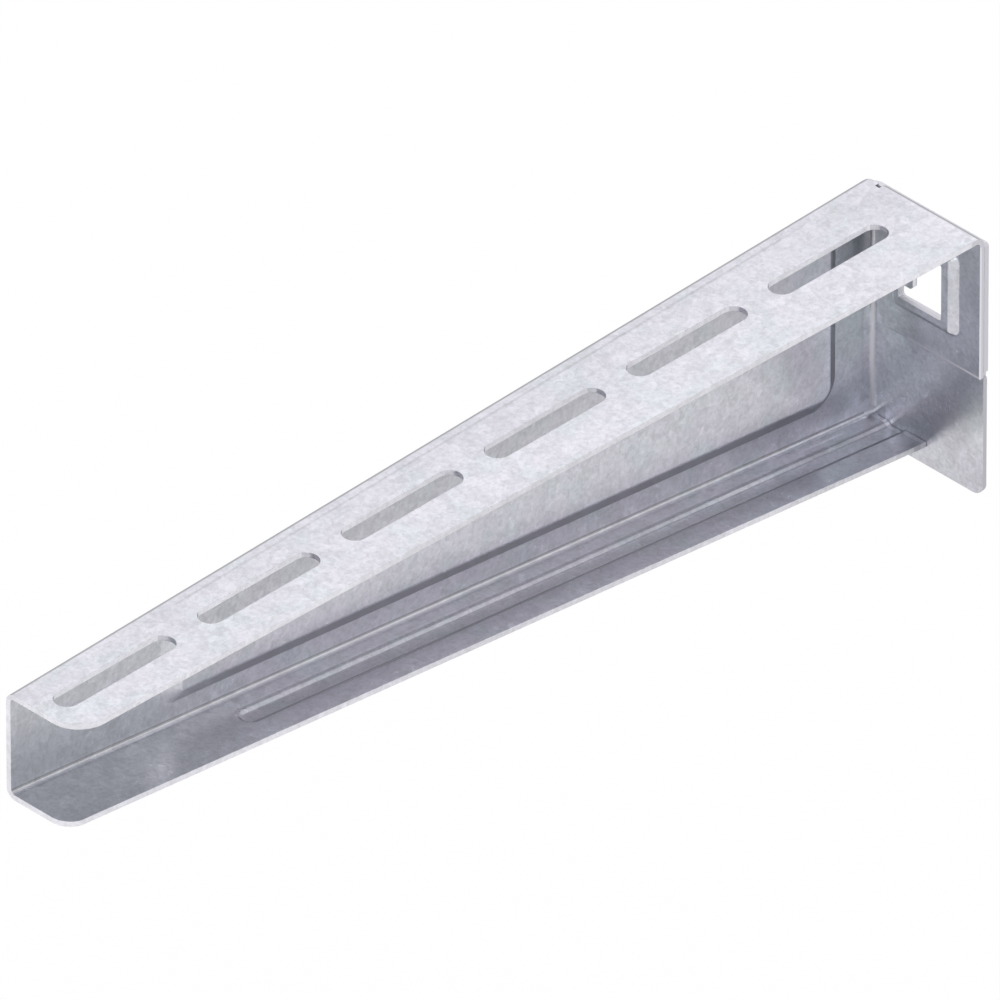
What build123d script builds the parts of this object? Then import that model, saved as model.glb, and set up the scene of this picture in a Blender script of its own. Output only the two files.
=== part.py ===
"""Cantilever strut arm, folded from one sheet of galvanised steel.

X runs from the wall out to the nose, Y towards the open side of the channel and Z up.
The origin lies on the wall face of the head, half way up it, in line with the slots.
A drop is measured down from the top surface, and a reach out from the wall.
"""
import os
from math import atan2, degrees, hypot

from build123d import *

# Sheet and folds
sheet = 1.5
bend_inside = 1.4
bend_outside = bend_inside + sheet
seam = 0.1  # clearance where one fold closes against another
press_inside = 0.5  # radius at the edges of a pressed form, on the hollow side of each bend
press_outside = press_inside + sheet

# Channel: a top flange, a web and a foot flange, all tapering to the nose.
# The offsets are those of the web and of the free edge from the slot line.
arm_length = 311.4
web_offset_wall = 19.9
web_offset_nose = 12.85
edge_offset_wall = 20.25
edge_offset_nose = 12.35
web_height_wall = 74.0
web_height_nose = 31.7
foot_width_wall = 20.3
foot_width_nose = 21.35
top_nose_radius = 9.0
foot_nose_radius = 5.5

# Slots in the top flange, in one row along the arm
slot_count = 6
slot_pitch = 50.0
slot_length = 40.0
slot_width = 7.0
slot_from_nose = 24.9

# Panel pressed out of the web towards the open side, sized at its foot
panel_depth = 3.0
panel_flank = 4.6
panel_from_wall = 15.6
panel_from_nose = 53.1
panel_from_top = 4.0
panel_from_foot_wall = 7.8
panel_from_foot_nose = 5.9
panel_wall_radius = 7.8
panel_nose_radius = 6.0

# Rib pressed down out of the foot flange, open at its wall end
rib_depth = 0.9
rib_width = 6.4
rib_flank = 1.3
rib_from_edge = 7.1
rib_from_nose = 72.0

# Wing: the end of the web, turned across the wall
head_height = 80.0
wing_top_drop = 2.9
wing_top_radius = 1.0
wing_corner_radius = 3.5
notch_drop = 41.9
notch_height = 2.0
notch_depth = 0.7

# Tab: the end of the top flange, turned down in front of the wing
tab_left = -13.0
tab_drop = 43.4
tab_lip = 0.5  # rounding of its lower front edge
relief_width = 1.5
relief_run = 0.8
corner_reach = 3.9
corner_radius = 3.5
corner_margin = 0.4  # how far the web runs past the folds at the foot of the head
corner_overlap = 0.8  # share of the sheet that the closed corner runs into

# Boss pressed through tab and wing towards the nose, with a window in each layer
boss_side = 1.2
boss_drop = 21.6
boss_width = 20.0
boss_height = 22.0
boss_depth = 2.0
boss_flank = 1.8
boss_radius = 3.0
window_width = 15.0
window_height = 17.0
window_radius = 0.8
back_window_extra = 1.0
tongue_length = 4.5
tongue_height = 11.0
tongue_radius = 1.3

# Places worked out from the sizes above
top_z = head_height / 2
tab_back = sheet + seam
fold_reach = tab_back + bend_outside
tapered_length = arm_length - fold_reach
web_taper = (web_offset_wall - web_offset_nose) / tapered_length
foot_rise = (web_height_wall - web_height_nose) / tapered_length
overrun = 10.0
far = arm_length + overrun


def tapered(at_wall, at_nose, reach):
    """Size that changes evenly from the folds of the head to the nose."""
    return at_wall + (at_nose - at_wall) * (reach - fold_reach) / tapered_length


def web_y(reach, inset=0.0):
    """Outer face of the web, moved into the channel by inset."""
    return inset * hypot(1, web_taper) - tapered(web_offset_wall, web_offset_nose, reach)


def foot_edge_y(reach):
    """Free edge of the foot flange."""
    return web_y(reach) + tapered(foot_width_wall, foot_width_nose, reach)


def foot_drop(reach, inset=0.0):
    """Drop of the under face of the foot flange, moved into the channel by inset."""
    return tapered(web_height_wall, web_height_nose, reach) - inset * hypot(1, foot_rise)


def wing_fold_end():
    """Drop at which the fold of the wing stops, above the fold of the foot flange."""
    return foot_drop(corner_reach) - bend_outside - corner_margin


def wing_flat_y():
    """Where the flat of the wing begins, past its fold."""
    return web_y(0) + bend_outside + corner_margin


def outline(points, radii=None):
    """Closed outline, with a corner radius for each point or sharp corners."""
    return make_face(FilletPolyline(*points, radius=radii or [0] * len(points), close=True))


def plan_block(points, radii=None, low=-far, high=far):
    """Block that stands on a plan outline of (reach, y) points."""
    return extrude(Plane.XY.offset(low) * outline(points, radii), amount=high - low)


def side_block(points):
    """Block that runs across a side outline of (reach, drop) points."""
    lifted = [(reach, top_z - drop) for reach, drop in points]
    return extrude(Plane.XZ * outline(lifted), amount=far, both=True)


def end_block(points, radii=None, low=-far, high=far):
    """Block that runs along the arm from an end outline of (y, drop) points."""
    lifted = [(y, top_z - drop) for y, drop in points]
    return extrude(Plane.YZ.offset(low) * outline(lifted, radii), amount=high - low)


def rounded(block, radius, *spots):
    """Round the edges of the block that pass through the spots."""
    edges = [block.edges().sort_by_distance(spot)[0] for spot in spots]
    return fillet(edges, radius)


def folded(core):
    """Sheet wrapped round a core, which is a function of its inset."""
    return core(0) - core(sheet)


def stamp(rim, plane, flank, depth, crest_radius):
    """Pressed form that rises from its rim, narrowing by its flank on every side, to a rounded crest."""
    block = extrude(rim, amount=depth, taper=degrees(atan2(flank, depth)))
    crest = [edge for edge in block.edges() if abs(plane.to_local_coords(edge @ 0.5).Z - depth) < 0.001]
    return fillet(crest, crest_radius)


def pressed(piece, face, points, radii, flank, depth, kept=None):
    """Piece with a form pressed out of its sheet, from a rim on its face, the side pushed in."""
    raised = face.offset(sheet)
    back_rim, front_rim = face * outline(points, radii), raised * outline(points, radii)
    bump = stamp(front_rim, raised, flank, depth, press_outside)
    dent = stamp(back_rim, face, flank, depth, press_inside)
    if kept:
        bump, dent = bump & kept, dent & kept
    piece = piece + bump - dent
    piece = rounded(piece, press_inside, *[edge @ 0.5 for edge in front_rim.edges()])
    return rounded(piece, press_outside, *[edge @ 0.5 for edge in back_rim.edges()])


def channel_core(inset):
    """Space that the channel wraps, from its outer faces moved in by inset."""
    low = -overrun - inset
    high = arm_length + overrun + inset
    open_y = far + inset
    low_foot, high_foot = foot_drop(low, inset), foot_drop(high, inset)
    low_web, high_web = web_y(low, inset), web_y(high, inset)
    side = side_block([(low, inset), (high, inset), (high, high_foot), (low, low_foot)])
    plan = plan_block([(low, low_web), (high, high_web), (high, open_y), (low, open_y)])
    middle = arm_length / 2
    top_corner = (middle, web_y(middle, inset), top_z - inset)
    foot_corner = (middle, web_y(middle, inset), top_z - foot_drop(middle, inset))
    return rounded(side & plan, bend_outside - inset, top_corner, foot_corner)


def wing_core(inset):
    """Space inside the corner of web and wing."""
    high = far + inset
    corner_y = web_y(inset, inset)
    points = [(inset, corner_y), (high, web_y(high, inset)), (high, high), (inset, high)]
    return rounded(plan_block(points, None, -high, high), bend_outside - inset, (inset, corner_y, 0))


def tab_core(inset):
    """Space inside the corner of top flange and tab."""
    high = far + inset
    left = tab_back + inset
    block = side_block([(left, inset), (high, inset), (high, high), (left, high)])
    return rounded(block, bend_outside - inset, (left, 0, top_z - inset))


def channel():
    """Top flange, web and foot flange, each cut to its outline."""
    beyond = -far
    relief_end = fold_reach + relief_run
    relief_left = tab_left - relief_width
    top_plan = [
        (corner_reach, beyond), (arm_length, beyond), (arm_length, edge_offset_nose),
        (fold_reach, edge_offset_wall), (fold_reach, tab_left), (relief_end, tab_left),
        (relief_end, relief_left), (corner_reach, relief_left),
    ]
    top_radii = [0, 0, top_nose_radius, 0, 0, 0, 0, 0]
    flat_y = wing_flat_y()
    foot_plan = [
        (corner_reach, beyond), (arm_length, beyond), (arm_length, foot_edge_y(arm_length)),
        (tab_back, foot_edge_y(tab_back)), (tab_back, flat_y), (corner_reach, flat_y),
    ]
    foot_radii = [0, 0, foot_nose_radius, 0, 0, 0]
    corner_plan = [(0, beyond), (corner_reach, beyond), (corner_reach, flat_y), (0, flat_y)]
    split_z = top_z - web_height_nose / 2
    kept = plan_block(top_plan, top_radii, split_z, far)
    kept += plan_block(foot_plan, foot_radii, -far, split_z)
    kept += plan_block(corner_plan, None, -far, top_z - wing_fold_end())
    return (folded(channel_core) & kept) - corner_trim()


def corner_trim():
    """What is cut away where the web's top fold ends in a rounded corner at the wall."""
    centre_x, centre_y = corner_reach + corner_radius, web_y(corner_reach) + corner_radius
    low = top_z - wing_top_drop
    corner = [(-far, -far), (centre_x, -far), (centre_x, centre_y), (-far, centre_y)]
    disc = Pos(centre_x, centre_y, 0) * Cylinder(corner_radius, 2 * far)
    return plan_block(corner, None, low, far) - disc


def corner_fill():
    """Plate that closes the corner where the folds of wing and foot flange meet the web."""
    overlap = corner_overlap * sheet
    left, right = web_y(0) + overlap, wing_flat_y()
    plan = [(0, left), (sheet, left), (sheet, right), (0, right)]
    return plan_block(plan, None, top_z - foot_drop(0) + overlap, top_z - wing_fold_end())


def wing():
    """End of the web, turned across the wall and pressed out round its window."""
    beyond = -far
    edge = edge_offset_wall
    flat_y = wing_flat_y()
    notch_y = edge - notch_depth
    notch_end = notch_drop + notch_height
    front = [
        (beyond, wing_top_drop), (edge, wing_top_drop), (edge, notch_drop), (notch_y, notch_drop),
        (notch_y, notch_end), (edge, notch_end), (edge, head_height), (flat_y, head_height),
        (flat_y, wing_fold_end()), (beyond, wing_fold_end()),
    ]
    radii = [0, wing_top_radius, 0, 0, 0, 0, wing_corner_radius, 0, 0, 0]
    plate = folded(wing_core) & end_block(front, radii, -overrun, corner_reach)
    plate = pressed(plate, head_face(0), boss_points(), boss_radii(), boss_flank, boss_depth)
    return plate - back_window()


def tab():
    """End of the top flange, turned down in front of the wing."""
    edge = edge_offset_wall
    front = [(tab_left, -overrun), (edge, -overrun), (edge, tab_drop), (tab_left, tab_drop)]
    plate = folded(tab_core) & end_block(front, None, -overrun, fold_reach)
    plate = rounded(plate, tab_lip, (tab_back + sheet, 0, top_z - tab_drop))
    plate = pressed(plate, head_face(tab_back), boss_points(), boss_radii(), boss_flank, boss_depth)
    return plate - front_window()


def head_face(reach):
    """Plane across the head; its own axes are y and height, from the top of the slot line."""
    return Plane(origin=(reach, 0, top_z), x_dir=(0, 1, 0), z_dir=(1, 0, 0))


def box_points(width, height):
    """Corners of a box about the middle of the boss, in the axes of the head faces."""
    left, right = boss_side - width / 2, boss_side + width / 2
    top, bottom = -boss_drop + height / 2, -boss_drop - height / 2
    return [(left, bottom), (right, bottom), (right, top), (left, top)]


def boss_points():
    """Foot of the boss, where its flanks leave the flat sheet."""
    return box_points(boss_width + 2 * boss_flank, boss_height + 2 * boss_flank)


def boss_radii():
    """Corner radii at the foot of the boss."""
    return [boss_radius] * 4


def front_window():
    """Opening through the tab."""
    points = box_points(window_width, window_height)
    return extrude(head_face(0) * outline(points, [window_radius] * 4), amount=far)


def back_window():
    """Larger opening through the wing, less a tongue that reaches in from the web side."""
    width = window_width + 2 * back_window_extra
    height = window_height + 2 * back_window_extra
    opening = outline(box_points(width, height), [window_radius] * 4)
    tongue_right = boss_side - width / 2 + tongue_length
    tongue_left = boss_side - boss_width / 2
    half = tongue_height / 2
    tongue = outline([
        (tongue_left, -boss_drop - half), (tongue_right, -boss_drop - half),
        (tongue_right, -boss_drop + half), (tongue_left, -boss_drop + half),
    ], [0, tongue_radius, tongue_radius, 0])
    return extrude(head_face(0) * (opening - tongue), amount=far)


def with_panel(arm):
    """Arm with the raised panel in its web."""
    corner = (fold_reach, web_y(fold_reach), top_z)
    face = Plane(origin=corner, x_dir=(1, web_taper, 0), z_dir=(-web_taper, 1, 0))
    wall_end, nose_end = panel_from_wall, arm_length - panel_from_nose
    wall_low = foot_drop(wall_end, sheet) - panel_from_foot_wall
    nose_low = foot_drop(nose_end, sheet) - panel_from_foot_nose
    points = [
        (wall_end - fold_reach, panel_from_top), (nose_end - fold_reach, panel_from_top),
        (nose_end - fold_reach, nose_low), (wall_end - fold_reach, wall_low),
    ]
    radii = [panel_wall_radius, panel_nose_radius, panel_nose_radius, panel_wall_radius]
    return pressed(arm, face, points, radii, panel_flank, panel_depth)


def with_rib(arm):
    """Arm with the rib pressed down out of its foot flange."""
    face = Plane(
        origin=(fold_reach, 0, top_z - foot_drop(fold_reach, sheet)),
        x_dir=(1, 0, foot_rise), z_dir=(foot_rise, 0, -1),
    )
    slant = hypot(1, foot_rise)
    wall_end, nose_end = -overrun, arm_length - rib_from_nose
    wall_x, nose_x = (wall_end - fold_reach) * slant, (nose_end - fold_reach) * slant
    near_wall = rib_from_edge - foot_edge_y(wall_end)
    near_nose = rib_from_edge - foot_edge_y(nose_end)
    points = [
        (wall_x, near_wall), (nose_x, near_nose),
        (nose_x, near_nose + rib_width), (wall_x, near_wall + rib_width),
    ]
    round_end = 0.49 * rib_width
    radii = [0, round_end, round_end, 0]
    beyond_wall = plan_block([(tab_back, -far), (far, -far), (far, far), (tab_back, far)])
    return pressed(arm, face, points, radii, rib_flank, rib_depth, beyond_wall)


def slots():
    """Row of slots along the top flange."""
    outline_plane = Plane.XY.offset(top_z - bend_outside)
    cutter = extrude(outline_plane * SlotOverall(slot_length, slot_width), amount=far)
    first = arm_length - slot_from_nose
    return [Pos(first - slot_pitch * index, 0, 0) * cutter for index in range(slot_count)]


def strut_arm():
    """The whole arm as one folded sheet."""
    arm = channel() + corner_fill() + wing() + tab()
    return with_rib(with_panel(arm)) - slots()


if __name__ == "__main__":
    os.makedirs("parts", exist_ok=True)
    export_step(strut_arm(), "parts/strut_arm.step")
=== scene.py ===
"""Looks of the cantilever strut arm: galvanised sheet, a white studio and the camera."""

import bpy
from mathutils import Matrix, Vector


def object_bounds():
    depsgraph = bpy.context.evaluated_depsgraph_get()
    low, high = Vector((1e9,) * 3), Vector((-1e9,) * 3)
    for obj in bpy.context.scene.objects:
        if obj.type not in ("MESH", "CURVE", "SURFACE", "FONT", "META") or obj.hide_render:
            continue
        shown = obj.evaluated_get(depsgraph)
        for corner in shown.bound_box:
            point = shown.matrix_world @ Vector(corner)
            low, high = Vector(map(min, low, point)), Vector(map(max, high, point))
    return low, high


MM = 0.001
PER_METRE = (1000, 1000, 1000)
WHITE = (1, 1, 1, 1)

# Camera: it looks down on the open side of the channel, from the nose end, through a very long lens
VIEW_DIRECTION = Vector((1, 1, 1)).normalized()
VIEW_WIDTH = 248.1 * MM
VIEW_CENTRE = Vector((152.3, 0, 24.5)) * MM
LENS = 1700.0
SENSOR = 36.0
CLIP_START = 0.1
CLIP_END = 100

# Studio
FLOOR_DROP = 400 * MM  # below the arm, which hangs on its wall
FLOOR_SIZE = 60.0
FLOOR_TONE = (0.9, 0.9, 0.9, 1)
FLOOR_GLOW = 0.8  # share of plain white where the camera or a reflection sees the floor

# Soft boxes: name, direction from the arm, distance and side in metres, watts
LAMPS = (
    ("top_box", (-1, -1, 1), 2.0, 1.6, 2.5),
    ("front_box", (1, 1, 1), 13.0, 9.0, 226),
)

# Tones of the sheet
COOL_ZINC = (0.579, 0.599, 0.639, 1)
WARM_ZINC = (0.608, 0.594, 0.650, 1)
# painted tints of the cold light reflected inside the channel, by the head and by the nose
HEAD_REFLECTION_TINT = (0.637, 0.665, 0.697, 1)
NOSE_REFLECTION_TINT = (0.590, 0.6005, 0.640, 1)
# painted shade on the outer bends and the rib's side
BEND_SHADE_TONE = (0.30, 0.30, 0.33, 1)
# painted shade on the panel flanks that turn down or to the wall
FLANK_SHADE_TONE = (0.345, 0.345, 0.372, 1)
CUT_EDGE = (0.80, 0.795, 0.84, 1)
# edge tones of head, wing and tab are painted light and shade
HEAD_EDGE = (0.66, 0.655, 0.70, 1)
WING_EDGE = (0.54, 0.537, 0.575, 1)
TAB_EDGE = (0.82, 0.815, 0.87, 1)

# Grain of the sheet. Each noise has its size in mm, its detail and its roughness.
SWAY = (3.0, 2, 0.5)
SWAY_REACH = (2.2, 2.2, 2.2)
FLAKE_SIZE = 3.0
FLAKE_SHARE = 0.15
GRAIN = (1.3, 3, 0.7)
CLOUD = (12.0, 4, 0.6)
CLOUD_RANGE = (0.36, 0.56)
WAVE = (4.0, 1, 0.5)
WAVE_HEIGHT = 0.02 * MM
WAVE_STRENGTH = 0.3
SPANGLE_RANGE = (0.32, 0.68)
ZINC_LIGHT = (0.863, 1.13)
RIM_MOTTLE = (0.90, 1.10)
SATIN_RANGE = (0.30, 0.70)
ZINC_ROUGHNESS = 0.30
ROUGHNESS_SWING = 0.03
CUT_ROUGHNESS = 0.55
EDGE_SOFTNESS = 0.25 * MM
EDGE_SAMPLES = 4

# Inner face of the web: its place across the arm at the wall, in mm, and how fast it tapers
WEB_START = -18.49
WEB_TAPER = 0.02294

# The tables below tell places apart. Limits are (place, low, high). Fades are (place, low, high,
# share at low, share at high). The places x, y and z are in mm. "beside" is the distance from the
# web's inner face and "slant" is z - y. "along", "across" and "up" are the parts of the facing
# along X, Y and Z, "lean" is along + across and "dip" is along + up.
INSIDE = ("z", -60, 37)
FOOT_FLANGE = (("z", -40, 20), ("up", 0.5, 1.1))
FOOT_FOLD = (("x", 5, 320), ("z", -40, 20))
WEB_FACE = ("beside", -1, 0.3)
PANEL_FACE = ("beside", 2.6, 3.4)
PANEL_FLANKS = (("y", -30, -8), ("z", -35, 36), ("across", 0.5, 0.97))
HEAD = ("x", -1, 6)
ARM = ("x", 6, 320)

# Faces where the sheet was cut
CUT_FACES = (
    # free edge of the top flange, round its corners
    (("z", 38.4, 41), ("y", 6, 30), ("up", -0.35, 0.35), ("x", 5, 320)),
    # edges that face the open side
    (("across", 0.9, 1.1), ("y", -8, 30)),
    # nose
    (("x", 300, 320), ("up", -0.35, 0.35), ("along", 0.35, 1.1)),
    # sills of the windows
    (("up", 0.9, 1.1), HEAD, ("z", -30, 37.5)),
    # feet of wing and tab
    (("up", -1.1, -0.9), ("x", -1, 3.5)),
    # painted highlight along the lower lip of the tab
    (("along", 0.3, 1.1), ("x", 2.5, 3.5), ("z", -3.5, -2.45), ("y", -5, 30)),
)

# Painted light and shade on cut edges by place, as tones that differ from CUT_EDGE: tone, limits
EDGE_TONES = (
    (HEAD_EDGE, (HEAD,)),
    (WING_EDGE, (("x", -1, 1.7), ("z", -50, -4))),
    (TAB_EDGE, (("x", 2.5, 3.5), ("z", -4, 37))),
)

# Painted shade on the outer bends of the top flange and on the rib's side that turns to the web, by the way
# they face
BEND_FADE = ("lean", -0.35, -0.20, 1, 0)
BEND_FACING = ("up", 0.3, 2)
BEND_PLACES = ((("z", 36.5, 41),), (("beside", 2.5, 60), ("x", 5, 320), ("z", -40, 20)))

# Panel flanks, painted by the way they face: painted shade on those that turn down or to the wall, painted
# highlight on the one that turns to the nose
SHADED_FLANK_FADES = (("dip", -0.45, -0.25, 1, 0), ("x", 232, 256, 1, 0.2))
BRIGHT_FLANK = (("along", 0.10, 0.40, 0, 1), ("z", 16, 26, 1, 0.3))

# Painted light and shade on cut edges: brighter towards the ends of the arm than in its middle, and painted
# shade on the foot flange's edge by the wall
EDGE_MIDDLE = 130
EDGE_ENDS = (40, 95, 0.95, 1.06)
FOOT_EDGE_FADES = (("x", 42, 58, 1, 0),)
FOOT_EDGE_LIMITS = (("z", -38, 0), ("x", 3.6, 60))
FOOT_EDGE_SHADE = -0.18

# Painted light and shade on the zinc by place: strength, fades, limits
PAINTED_LIGHT_AND_SHADE = (
    # painted shade on the top flange by the web's fold
    (-0.065, (("y", -14, 6, 1, 0), ("z", 20, 30, 0, 1)), ()),
    # painted shade low on the wing and tab, painted light a little higher
    (-0.055, (("z", -34, -16, 1, 0),), (("x", -1, 3),)),
    (0.04, (("z", -28, -8, 0, 1),), (("x", -1, 5),)),
    # painted shade: band across the wing, where its lit foot passes into the shaded top
    (-0.22, (("slant", -42, -37, 0, 1), ("slant", -31, -26, 1, 0), ("y", 4, 12, 0, 1)), (("x", 0.5, 3),)),
    # painted light on the shaded part of the wing, and on the lower end of the tab
    (1, (("z", -34, -24, 0.02, 0.12), ("y", 4, 12, 1, 0.15)), (("x", 0.5, 3), ("z", -50, -2))),
    (0.05, (("y", 4, 12, 1, 0.15),), (("x", 3, 5), ("z", -4, 5))),
    # painted highlight: streak that leaves the closed corner
    (1, (("slant", -22.5, -19.5, 0, 1), ("slant", -18, -14, 1, 0), ("z", -30, -17, 0.42, 0.06)),
     (("x", 0.5, 3), ("y", -14, 2), ("z", -34, -8))),
    # painted shade on the tab between the boss and its free side
    (-0.18, (("y", 12, 14, 0, 1), ("z", 14, 19, 0, 1)), (("x", 2, 5), ("z", 14, 37))),
    # painted shade on the web by the nose
    (-0.06, (("x", 240, 262, 0, 1),), (WEB_FACE, ("z", -40, 37))),
    # painted light on the web by the wall near its foot, painted shade above, darkest in the corner under
    # the top flange
    (0.10, (("z", -18, -14, 1, 0), ("x", 24, 34, 1, 0.3)), (WEB_FACE, ("x", 2, 40), ("z", -36, 0))),
    (-0.14, (("z", -12, -8, 0, 1), ("z", 3, 8, 1, 0)), (WEB_FACE, ("x", 1.6, 16))),
    (1, (("x", 9, 17, -0.38, -0.06), ("z", 4, 17, 0, 1)), (("beside", -1, 1), ("x", 1.6, 24), ("z", 4, 37))),
    # painted light on the panel's lower corner by the wall, painted shade on the strip that is seen through
    # the slots
    (0.26, (("x", 21, 36, 1, 0), ("z", -12, -2, 1, 0.2)), (("x", 16, 40), PANEL_FACE, ("z", -40, 20))),
    (-0.13, (("z", 12, 17, 0, 1), ("x", 28, 40, 0, 1)), (PANEL_FACE, ("x", 28, 256))),
    # painted shade on the foot flange by the wall, painted light over its length, between web and rib and
    # round the panel's nose end
    (-0.22, (("x", 27, 38, 1, 0),), FOOT_FLANGE + (("x", 3.2, 45),)),
    (1, (("x", 20, 60, 0, 1), ("x", 240, 256, 1, 0.4), ("beside", 8, 11, 0.03, 0.17)), FOOT_FLANGE),
    (0.15, (("x", 20, 60, 0, 1), ("x", 230, 240, 1, 0), ("beside", 4.4, 5.2, 0, 1),
            ("beside", 7.2, 8.0, 1, 0)), FOOT_FLANGE),
    (0.13, (("x", 230, 240, 0, 1), ("x", 256, 266, 1, 0), ("beside", 5, 8, 0, 1),
            ("beside", 12, 16, 1, 0.3)), FOOT_FLANGE),
    # painted shade on the upper side of the fold between web and foot flange, painted highlight on its lower
    # side
    (-0.38, (), FOOT_FOLD + (("up", 0.08, 0.5), ("beside", -0.1, 0.5))),
    (0.30, (), FOOT_FOLD + (("up", 0.85, 0.98), ("beside", 0.4, 1.6))),
)

# Painted cold tint that stands in for the light reflected inside the channel: fades towards the nose and
# towards the head
NOSE_COLD = (("x", 225, 262, 0, 1),)
HEAD_COLD = (("x", 6, 30, 1, 0), ("z", -32, -12, 0, 1))
# Less of that painted tint on faces that turn to the open side, at the head or high on the web
TO_OPEN_SIDE = ("across", 0.4, 0.6, 0, 1)
HIGH_ON_WEB = ("z", 4, 17, 0, 1)


class Nodes:
    """Small helper that adds nodes to a material and joins them."""

    def __init__(self, material):
        self.tree = material.node_tree
        self.places = {}

    def add(self, kind, inputs=None, **settings):
        """New node, with its settings and its inputs, which are values or other sockets."""
        node = self.tree.nodes.new(kind)
        for name, value in settings.items():
            setattr(node, name, value)
        for name, value in (inputs or {}).items():
            self.feed(node.inputs[name], value)
        return node

    def feed(self, socket, value):
        """Give a socket its value, or join another socket to it."""
        if isinstance(value, bpy.types.NodeSocket):
            self.tree.links.new(value, socket)
        else:
            socket.default_value = value

    def math(self, operation, a, b=0.0):
        """Result of an operation on one or two numbers."""
        return self.add("ShaderNodeMath", {0: a, 1: b}, operation=operation).outputs[0]

    def vector(self, operation, a, b):
        """Result of an operation on two vectors."""
        return self.add("ShaderNodeVectorMath", {0: a, 1: b}, operation=operation).outputs[0]

    def scaled(self, colour, light):
        """Colour made lighter or darker."""
        return self.add("ShaderNodeVectorMath", {0: colour, "Scale": light}, operation="SCALE").outputs[0]

    def parts(self, vector):
        """The three numbers of a vector."""
        outputs = self.add("ShaderNodeSeparateXYZ", {0: vector}).outputs
        return outputs["X"], outputs["Y"], outputs["Z"]

    def spread(self, value, low, high, to_low, to_high):
        """Value moved from one range to another, kept inside it."""
        inputs = {"Value": value, "From Min": low, "From Max": high, "To Min": to_low, "To Max": to_high}
        return self.add("ShaderNodeMapRange", inputs).outputs["Result"]

    def mix(self, share, a, b):
        """Colour between two colours."""
        node = self.add("ShaderNodeMix", data_type="RGBA")
        self.feed(node.inputs["Factor"], share)
        self.feed(node.inputs["A"], a)
        self.feed(node.inputs["B"], b)
        return node.outputs["Result"]

    def noise(self, place, size_mm, detail, roughness):
        """Soft noise with features of about this size."""
        inputs = {"Vector": place, "Scale": 1 / size_mm, "Detail": detail, "Roughness": roughness}
        return self.add("ShaderNodeTexNoise", inputs).outputs

    def flakes(self, place, size_mm):
        """Random number for each crystal of about this size."""
        inputs = {"Vector": place, "Scale": 1 / size_mm}
        colour = self.add("ShaderNodeTexVoronoi", inputs).outputs["Color"]
        return self.add("ShaderNodeSeparateColor", {"Color": colour}).outputs["Red"]

    def any_of(self, *shares):
        """Largest of several shares."""
        result = shares[0]
        for share in shares[1:]:
            result = self.math("MAXIMUM", result, share)
        return result

    def within(self, *limits):
        """One where each place lies between its two limits, zero elsewhere."""
        share = 1.0
        for name, low, high in limits:
            value = self.places[name]
            share = self.math("MULTIPLY", share, self.math("GREATER_THAN", value, low))
            share = self.math("MULTIPLY", share, self.math("LESS_THAN", value, high))
        return share

    def fade(self, name, low, high, at_low, at_high):
        """Share that fades from one place to another."""
        return self.spread(self.places[name], low, high, at_low, at_high)

    def patch(self, strength, fades, limits):
        """Strength where a patch is, faded towards its sides, and zero outside its limits."""
        share = self.within(*limits)
        for fade in fades:
            share = self.math("MULTIPLY", share, self.fade(*fade))
        return self.math("MULTIPLY", share, strength)


def find_places(nodes, place):
    """Values that tell one place of the part from another."""
    x, y, z = nodes.parts(place)
    along, across, up = nodes.parts(nodes.add("ShaderNodeNewGeometry").outputs["True Normal"])
    web = nodes.math("ADD", nodes.math("MULTIPLY", x, WEB_TAPER), WEB_START)
    nodes.places = {
        "x": x,
        "y": y,
        "z": z,
        "beside": nodes.math("SUBTRACT", y, web),
        "slant": nodes.math("SUBTRACT", z, y),
        "along": along,
        "across": across,
        "up": up,
        "lean": nodes.math("ADD", along, across),
        "dip": nodes.math("ADD", along, up),
    }


def painted_bend_shade(nodes):
    """One where shade is painted on the bends, zero elsewhere."""
    place = nodes.any_of(*[nodes.within(*limits) for limits in BEND_PLACES])
    place = nodes.math("MULTIPLY", place, nodes.within(BEND_FACING))
    return nodes.math("MULTIPLY", nodes.fade(*BEND_FADE), place)


def painted_reflection_tint(nodes, tint):
    """Painted cold tint, standing in for light reflected inside the channel, towards the head and towards
    the nose.
    """
    nose = nodes.patch(1, NOSE_COLD, (INSIDE,))
    head = nodes.patch(1, HEAD_COLD, (INSIDE,))
    warmer = nodes.any_of(nodes.within(HEAD), nodes.fade(*HIGH_ON_WEB))
    warmer = nodes.math("MULTIPLY", warmer, nodes.fade(*TO_OPEN_SIDE))
    head = nodes.math("MULTIPLY", head, nodes.math("SUBTRACT", 1.0, warmer))
    return nodes.mix(head, nodes.mix(nose, tint, NOSE_REFLECTION_TINT), HEAD_REFLECTION_TINT)


def painted_zinc_light(nodes):
    """Painted light and shade on the zinc, by where it lies."""
    shade = 1.0
    for strength, fades, limits in PAINTED_LIGHT_AND_SHADE:
        shade = nodes.math("ADD", shade, nodes.patch(strength, fades, limits))
    return shade


def edge_tone_with_painted_light(nodes, spangle):
    """Colour of the faces where the sheet was cut, with painted light and shade by place."""
    tone = CUT_EDGE
    for colour, limits in EDGE_TONES:
        tone = nodes.mix(nodes.within(*limits), tone, colour)
    away = nodes.math("ABSOLUTE", nodes.math("SUBTRACT", nodes.places["x"], EDGE_MIDDLE))
    mottle = nodes.spread(spangle, *SPANGLE_RANGE, *RIM_MOTTLE)
    light = nodes.math("MULTIPLY", nodes.spread(away, *EDGE_ENDS), mottle)
    light = nodes.math("MULTIPLY", light, nodes.within(ARM))
    light = nodes.math("ADD", light, nodes.within(HEAD))
    light = nodes.math("ADD", light, nodes.patch(FOOT_EDGE_SHADE, FOOT_EDGE_FADES, FOOT_EDGE_LIMITS))
    return nodes.scaled(tone, light)


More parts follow.
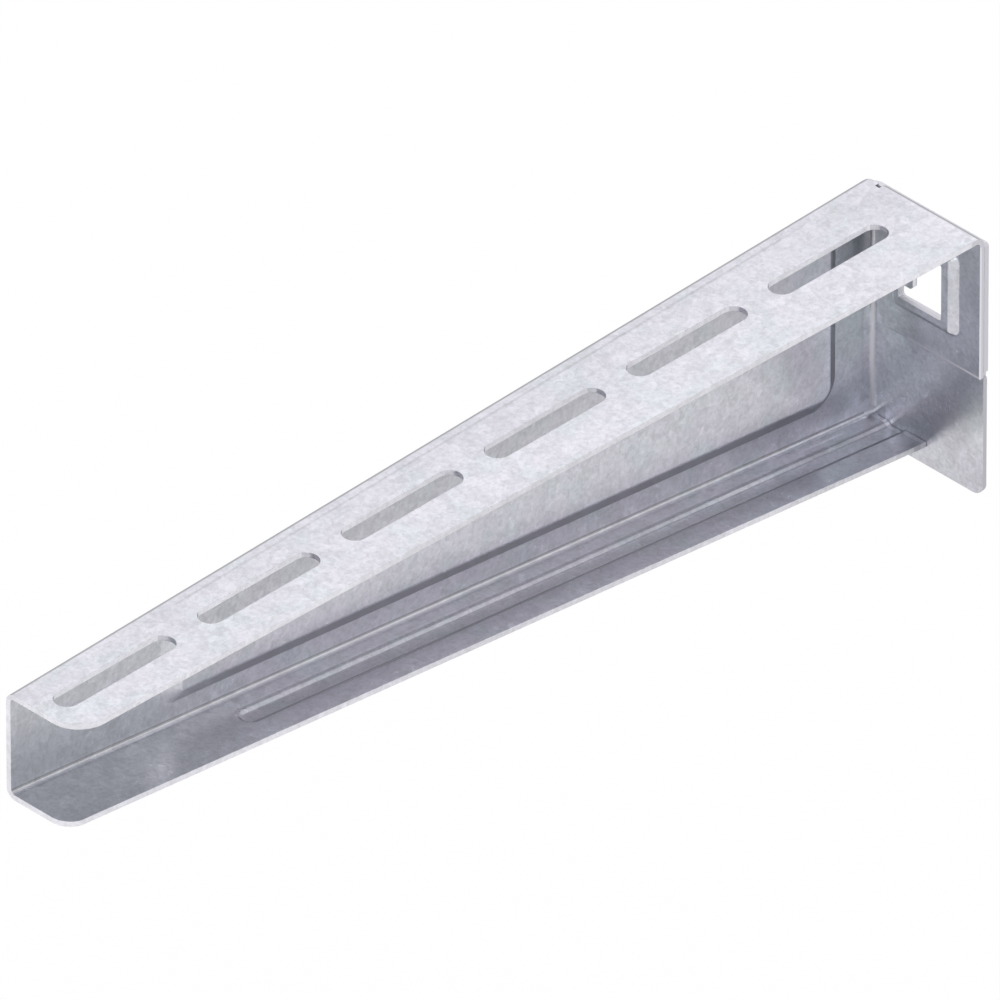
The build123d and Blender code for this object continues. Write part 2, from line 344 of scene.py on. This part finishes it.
def galvanised():
    """Galvanised sheet: satin zinc with a faint spangle, brighter where it was cut, with painted light,
    shade and reflection tints by place and by facing.
    """
    material = bpy.data.materials.new("galvanised_steel")
    material.use_nodes = True
    nodes = Nodes(material)
    shader = material.node_tree.nodes["Principled BSDF"]

    where = nodes.add("ShaderNodeTexCoord").outputs["Object"]
    place = nodes.vector("MULTIPLY", where, PER_METRE)
    find_places(nodes, place)

    sway = nodes.noise(place, *SWAY)["Color"]
    bent = nodes.vector("ADD", place, nodes.vector("MULTIPLY", sway, SWAY_REACH))
    large = nodes.flakes(bent, FLAKE_SIZE)
    grain = nodes.noise(bent, *GRAIN)["Fac"]
    wave = nodes.noise(place, *WAVE)["Fac"]
    cloud = nodes.noise(place, *CLOUD)["Fac"]
    large = nodes.math("MULTIPLY", large, FLAKE_SHARE)
    grain = nodes.math("MULTIPLY", grain, 1 - FLAKE_SHARE)
    spangle = nodes.math("ADD", large, grain)

    tint = nodes.mix(nodes.spread(cloud, *CLOUD_RANGE, 0, 1), COOL_ZINC, WARM_ZINC)
    # spangle brightness times the painted light and shade by place
    light = nodes.math("MULTIPLY", nodes.spread(spangle, *SPANGLE_RANGE, *ZINC_LIGHT), painted_zinc_light(nodes))
    zinc_with_painted_light = nodes.scaled(painted_reflection_tint(nodes, tint), light)
    # painted shade on the bends, then on the panel flanks
    surface = nodes.mix(painted_bend_shade(nodes), zinc_with_painted_light, BEND_SHADE_TONE)
    surface = nodes.mix(nodes.patch(1, SHADED_FLANK_FADES, PANEL_FLANKS), surface, FLANK_SHADE_TONE)

    # pale cut faces, and a painted highlight on the panel flank that turns to the nose
    cut_and_highlight = nodes.any_of(*[nodes.within(*limits) for limits in CUT_FACES])
    cut_and_highlight = nodes.any_of(cut_and_highlight, nodes.patch(1, BRIGHT_FLANK, PANEL_FLANKS))
    surface = nodes.mix(cut_and_highlight, surface, edge_tone_with_painted_light(nodes, spangle))
    dull, shiny = ZINC_ROUGHNESS + ROUGHNESS_SWING, ZINC_ROUGHNESS - ROUGHNESS_SWING
    satin = nodes.spread(spangle, *SATIN_RANGE, dull, shiny)
    roughness = nodes.add("ShaderNodeMix", {"Factor": cut_and_highlight, "A": satin, "B": CUT_ROUGHNESS}).outputs["Result"]

    bend = nodes.add("ShaderNodeBevel", {"Radius": EDGE_SOFTNESS}, samples=EDGE_SAMPLES).outputs["Normal"]
    relief = {"Strength": WAVE_STRENGTH, "Distance": WAVE_HEIGHT, "Height": wave, "Normal": bend}
    bump = nodes.add("ShaderNodeBump", relief)

    nodes.feed(shader.inputs["Base Color"], surface)
    nodes.feed(shader.inputs["Roughness"], roughness)
    nodes.feed(shader.inputs["Normal"], bump.outputs["Normal"])
    shader.inputs["Metallic"].default_value = 1.0
    return material


def make_floor():
    """White floor under the arm, which keeps a part of its shadow."""
    low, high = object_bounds()
    bpy.ops.mesh.primitive_plane_add(size=FLOOR_SIZE, location=(0, 0, low.z - FLOOR_DROP))
    floor = bpy.context.object
    floor.name = "floor"
    material = bpy.data.materials.new("pale_floor")
    material.use_nodes = True
    nodes = Nodes(material)
    shader = material.node_tree.nodes["Principled BSDF"]
    shader.inputs["Base Color"].default_value = FLOOR_TONE
    shader.inputs["Roughness"].default_value = 1.0
    rays = nodes.add("ShaderNodeLightPath").outputs
    seen = nodes.any_of(rays["Is Camera Ray"], rays["Is Glossy Ray"], rays["Is Transmission Ray"])
    white = nodes.add("ShaderNodeEmission", {"Color": WHITE, "Strength": 1.0}).outputs[0]
    share = nodes.math("MULTIPLY", seen, FLOOR_GLOW)
    blend = nodes.add("ShaderNodeMixShader", {0: share, 1: shader.outputs[0], 2: white}).outputs[0]
    nodes.feed(material.node_tree.nodes["Material Output"].inputs["Surface"], blend)
    floor.data.materials.append(material)


def make_world():
    """White surroundings."""
    world = bpy.data.worlds.new("studio")
    bpy.context.scene.world = world
    world.use_nodes = True
    background = world.node_tree.nodes["Background"]
    background.inputs["Color"].default_value = WHITE
    background.inputs["Strength"].default_value = 1.0


def add_lamp(name, direction, distance, size, watts):
    """Square soft box that faces the arm from a direction."""
    data = bpy.data.lights.new(name, "AREA")
    data.shape = "SQUARE"
    data.size = size
    data.energy = watts
    lamp = bpy.data.objects.new(name, data)
    bpy.context.scene.collection.objects.link(lamp)
    away = Vector(direction).normalized()
    lamp.location = VIEW_CENTRE + away * distance
    lamp.rotation_euler = away.to_track_quat("Z", "Y").to_euler()


def make_camera():
    """Long-lens camera that frames the arm as the photograph does."""
    data = bpy.data.cameras.new("camera")
    data.lens = LENS
    data.sensor_width = SENSOR
    data.clip_start = CLIP_START
    data.clip_end = CLIP_END
    camera = bpy.data.objects.new("camera", data)
    bpy.context.scene.collection.objects.link(camera)
    distance = VIEW_WIDTH * LENS / SENSOR
    camera.location = VIEW_CENTRE + VIEW_DIRECTION * distance
    camera.rotation_euler = VIEW_DIRECTION.to_track_quat("Z", "Y").to_euler()
    bpy.context.scene.camera = camera


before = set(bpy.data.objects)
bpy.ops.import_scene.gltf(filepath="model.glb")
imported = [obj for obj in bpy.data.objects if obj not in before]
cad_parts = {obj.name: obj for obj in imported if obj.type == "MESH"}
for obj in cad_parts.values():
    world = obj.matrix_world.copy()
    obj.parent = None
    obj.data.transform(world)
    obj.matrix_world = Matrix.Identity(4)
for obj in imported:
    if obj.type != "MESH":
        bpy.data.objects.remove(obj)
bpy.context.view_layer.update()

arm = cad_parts["strut_arm"]
arm.data.materials.clear()
arm.data.materials.append(galvanised())

make_floor()
make_world()
for lamp_settings in LAMPS:
    add_lamp(*lamp_settings)
make_camera()
bpy.context.scene.view_settings.view_transform = "Standard"
